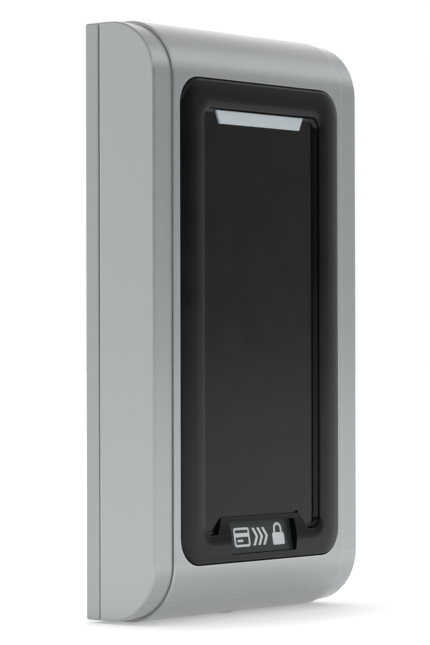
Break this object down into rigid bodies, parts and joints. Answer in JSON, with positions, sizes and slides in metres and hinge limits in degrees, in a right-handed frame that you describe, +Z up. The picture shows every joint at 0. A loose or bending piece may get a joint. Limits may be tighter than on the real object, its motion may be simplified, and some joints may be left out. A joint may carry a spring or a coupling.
{
  "type": "rfid card reader",
  "caption": "Wall-mounted proximity card reader: silver-grey metal housing on a wall plate, recessed black antenna window, status light bar and small badge with three plain symbols.",
  "frame": {"origin": "middle of the wall plate's rear face, in the plane of the wall", "axes": "+Z up along the longest side, +Y into the wall, -Y the way the front faces, +X to the right seen from the front"},
  "size_m": [0.066, 0.0193, 0.12],
  "materials": {
    "die_cast": "satin silver-grey paint on a zinc die-casting",
    "wall_plate": "satin silver-grey paint",
    "black_moulding": "fine satin texture",
    "badge": "satin film with three plain printed symbols",
    "lens": "frosted translucent acrylic",
    "clear_guide": "clear acrylic",
    "foam": "closed-cell foam",
    "rubber": "dark moulded rubber",
    "former": "natural nylon",
    "winding": "enamelled copper wire",
    "ferrite": "dull sintered sheet",
    "circuit_board": "solder-masked glass epoxy",
    "chip_plastic": "moulded epoxy",
    "lamp": "diffused lamp package",
    "tin": "tinned metal can",
    "ceramic": "surface-mounted ceramic",
    "terminal_green": "moulded terminal body",
    "zinc_screw": "zinc-plated steel",
    "stainless": "stainless steel",
    "inner_black": "moulded cover",
    "plunger_white": "acetal"
  },
  "bodies": {
    "wall_plate": {"back_plate": "wall_plate", "wall_gasket": "foam", "seam_gasket": "rubber"},
    "reader_head": {"front_housing": "die_cast", "front_bezel": "black_moulding", "bezel_gasket": "rubber", "name_plate": "badge", "light_bar": "lens", "light_guide": "clear_guide", "antenna_bobbin": "former", "antenna_coil": "winding", "ferrite_sheet": "ferrite", "main_pcb": "circuit_board", "pcb_screws": "zinc_screw", "status_leds": "lamp", "processor_chip": "chip_plastic", "radio_chips": "chip_plastic", "crystal": "tin", "capacitors": "tin", "chip_components": "ceramic", "buzzer": "chip_plastic", "wiring_terminal": "terminal_green", "terminal_screws": "zinc_screw", "rear_cover": "inner_black", "rear_cover_screws": "zinc_screw", "nut_carrier": "inner_black", "lock_nut": "zinc_screw", "tamper_switch": "chip_plastic", "tamper_spring": "stainless"},
    "screw_clip": {"screw_clip": "stainless"},
    "security_screw": {"security_screw": "stainless"},
    "tamper_plunger": {"tamper_plunger": "plunger_white"}
  },
  "joints": [
    {"name": "housing_tilt", "type": "hinge", "parent": "wall_plate", "child": "reader_head", "pos_m": [0, -0.0036, 0.0596], "axis": [-1, 0, 0], "range_deg": [0, 25]},
    {"name": "screw_slide", "type": "slide", "parent": "reader_head", "child": "screw_clip", "axis": [0, 0, -1], "range_m": [0, 0.002]},
    {"name": "screw_turn", "type": "hinge", "parent": "screw_clip", "child": "security_screw", "pos_m": [0, -0.0075, -0.0592], "axis": [0, 0, -1], "range_deg": [0, 1440]},
    {"name": "tamper_plunger_travel", "type": "slide", "parent": "reader_head", "child": "tamper_plunger", "axis": [0, 1, 0], "range_m": [0, 0.0013], "stiffness_N_per_m": 150, "springref_m": 0.002}
  ],
  "couplings": [
    {"joint": "screw_turn", "follows": "screw_slide", "rad_per_m": 12566}
  ]
}
